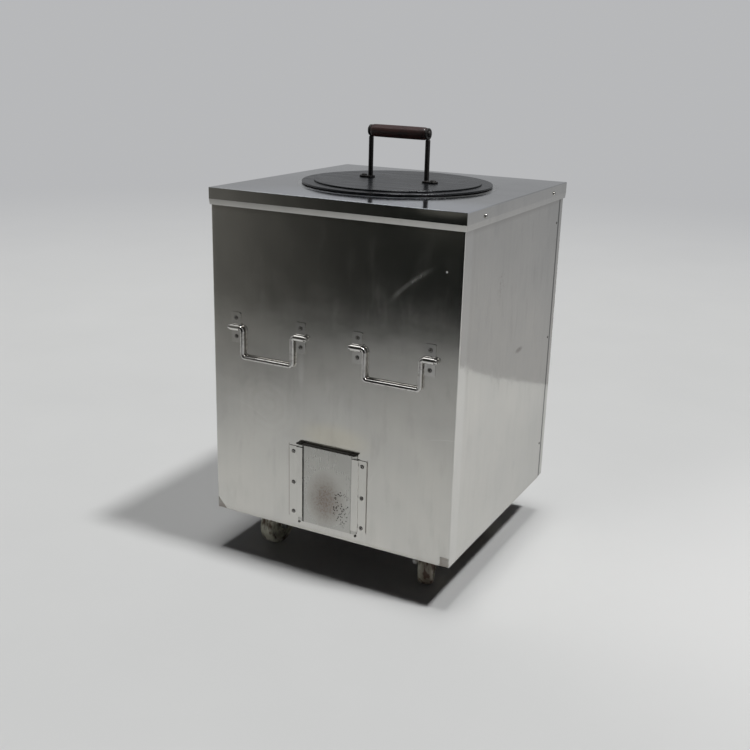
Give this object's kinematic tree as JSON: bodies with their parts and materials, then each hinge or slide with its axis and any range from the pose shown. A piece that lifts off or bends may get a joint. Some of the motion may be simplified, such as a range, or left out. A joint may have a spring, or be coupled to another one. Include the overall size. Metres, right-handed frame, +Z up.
{
  "type": "clay tandoor oven",
  "caption": "Charcoal tandoor: clay pot in an insulated square stainless steel casing on swivel castors, with lift-off lid, sliding draught door and bail handles.",
  "frame": {"origin": "on the floor at the centre of the footprint, under the middle of the pot", "axes": "+Z up; the draught door and the pictured pair of bail handles face -Y; +X is to the right seen from the front"},
  "size_m": [0.606, 0.6194, 0.981],
  "materials": {
    "stainless_sheet": "satin",
    "door_plate": "satin",
    "polished_stainless": "gloss",
    "rivet_steel": "satin",
    "black_steel": "satin",
    "grip_wood": "gloss",
    "mild_steel": "matte",
    "zinc_steel": "satin",
    "nylon": "satin",
    "fired_clay": "matte",
    "firebrick": "matte",
    "mineral_wool": "matte",
    "cast_iron": "matte"
  },
  "bodies": {
    "oven": {"casing_wrap": "stainless_sheet", "rear_panel": "stainless_sheet", "top_cap": "stainless_sheet", "door_rail_left": "stainless_sheet", "door_rail_right": "stainless_sheet", "clips_front_left": "polished_stainless", "clips_front_right": "polished_stainless", "clips_rear_left": "polished_stainless", "clips_rear_right": "polished_stainless", "clip_rivets_front": "rivet_steel", "clip_rivets_rear": "rivet_steel", "rail_rivets": "rivet_steel", "door_stops": "rivet_steel", "seam_rivets": "rivet_steel", "cap_screws": "rivet_steel", "base_bearer_front": "mild_steel", "base_bearer_rear": "mild_steel", "base_plate": "mild_steel", "base_frame": "mild_steel", "top_frame": "mild_steel", "draught_duct": "mild_steel", "corner_post_front_left": "mild_steel", "corner_post_front_right": "mild_steel", "corner_post_rear_left": "mild_steel", "corner_post_rear_right": "mild_steel", "castor_kingpins": "zinc_steel", "castor_bolts": "zinc_steel", "castor_front_left_plate": "zinc_steel", "castor_front_right_plate": "zinc_steel", "castor_rear_left_plate": "zinc_steel", "castor_rear_right_plate": "zinc_steel", "clay_pot": "fired_clay", "hearth_slab": "firebrick", "insulation": "mineral_wool", "fire_grate": "cast_iron"},
    "draught_door": {"draught_door": "door_plate"},
    "mouth_ring": {"mouth_ring": "black_steel"},
    "lid": {"lid_disc": "black_steel", "lid_leg_left": "black_steel", "lid_leg_right": "black_steel", "lid_grip": "grip_wood", "grip_rod": "black_steel", "grip_nuts": "black_steel", "foot_rivets": "black_steel"},
    "bail_front_left": {"bail_front_left": "polished_stainless"},
    "bail_front_right": {"bail_front_right": "polished_stainless"},
    "bail_rear_left": {"bail_rear_left": "polished_stainless"},
    "bail_rear_right": {"bail_rear_right": "polished_stainless"},
    "castor_front_left_fork": {"castor_front_left_fork": "zinc_steel", "castor_front_left_axle": "zinc_steel"},
    "castor_front_left_wheel": {"castor_front_left_wheel": "nylon"},
    "castor_front_right_fork": {"castor_front_right_fork": "zinc_steel", "castor_front_right_axle": "zinc_steel"},
    "castor_front_right_wheel": {"castor_front_right_wheel": "nylon"},
    "castor_rear_left_fork": {"castor_rear_left_fork": "zinc_steel", "castor_rear_left_axle": "zinc_steel"},
    "castor_rear_left_wheel": {"castor_rear_left_wheel": "nylon"},
    "castor_rear_right_fork": {"castor_rear_right_fork": "zinc_steel", "castor_rear_right_axle": "zinc_steel"},
    "castor_rear_right_wheel": {"castor_rear_right_wheel": "nylon"}
  },
  "joints": [
    {"name": "door_slide", "type": "slide", "parent": "oven", "child": "draught_door", "axis": [0, 0, 1], "range_m": [0, 0.15]},
    {"name": "ring_lift", "type": "slide", "parent": "oven", "child": "mouth_ring", "axis": [0, 0, 1], "range_m": [0, 0.15]},
    {"name": "lid_lift", "type": "slide", "parent": "mouth_ring", "child": "lid", "axis": [0, 0, 1], "range_m": [0, 0.35]},
    {"name": "bail_front_left_swing", "type": "hinge", "parent": "oven", "child": "bail_front_left", "pos_m": [-0.152, -0.3028, 0.552], "axis": [-1, 0, 0], "range_deg": [0, 180]},
    {"name": "bail_front_right_swing", "type": "hinge", "parent": "oven", "child": "bail_front_right", "pos_m": [0.152, -0.3028, 0.552], "axis": [-1, 0, 0], "range_deg": [0, 180]},
    {"name": "bail_rear_left_swing", "type": "hinge", "parent": "oven", "child": "bail_rear_left", "pos_m": [-0.152, 0.3028, 0.552], "axis": [1, 0, 0], "range_deg": [0, 180]},
    {"name": "bail_rear_right_swing", "type": "hinge", "parent": "oven", "child": "bail_rear_right", "pos_m": [0.152, 0.3028, 0.552], "axis": [1, 0, 0], "range_deg": [0, 180]},
    {"name": "castor_front_left_swivel", "type": "hinge", "parent": "oven", "child": "castor_front_left_fork", "pos_m": [-0.192, -0.167, 0.1], "axis": [0, 0, 1], "continuous": true},
    {"name": "castor_front_left_roll", "type": "hinge", "parent": "castor_front_left_fork", "child": "castor_front_left_wheel", "pos_m": [-0.19423, -0.19892, 0.05], "axis": [0.9976, -0.0698, 0], "continuous": true},
    {"name": "castor_front_right_swivel", "type": "hinge", "parent": "oven", "child": "castor_front_right_fork", "pos_m": [0.192, -0.167, 0.1], "axis": [0, 0, 1], "continuous": true},
    {"name": "castor_front_right_roll", "type": "hinge", "parent": "castor_front_right_fork", "child": "castor_front_right_wheel", "pos_m": [0.20294, -0.19707, 0.05], "axis": [0.9397, 0.342, 0], "continuous": true},
    {"name": "castor_rear_left_swivel", "type": "hinge", "parent": "oven", "child": "castor_rear_left_fork", "pos_m": [-0.192, 0.167, 0.1], "axis": [0, 0, 1], "continuous": true},
    {"name": "castor_rear_left_roll", "type": "hinge", "parent": "castor_rear_left_fork", "child": "castor_rear_left_wheel", "pos_m": [-0.19701, 0.13539, 0.05], "axis": [0.9877, -0.1564, 0], "continuous": true},
    {"name": "castor_rear_right_swivel", "type": "hinge", "parent": "oven", "child": "castor_rear_right_fork", "pos_m": [0.192, 0.167, 0.1], "axis": [0, 0, 1], "continuous": true},
    {"name": "castor_rear_right_roll", "type": "hinge", "parent": "castor_rear_right_fork", "child": "castor_rear_right_wheel", "pos_m": [0.1992, 0.13582, 0.05], "axis": [0.9744, 0.225, 0], "continuous": true}
  ]
}
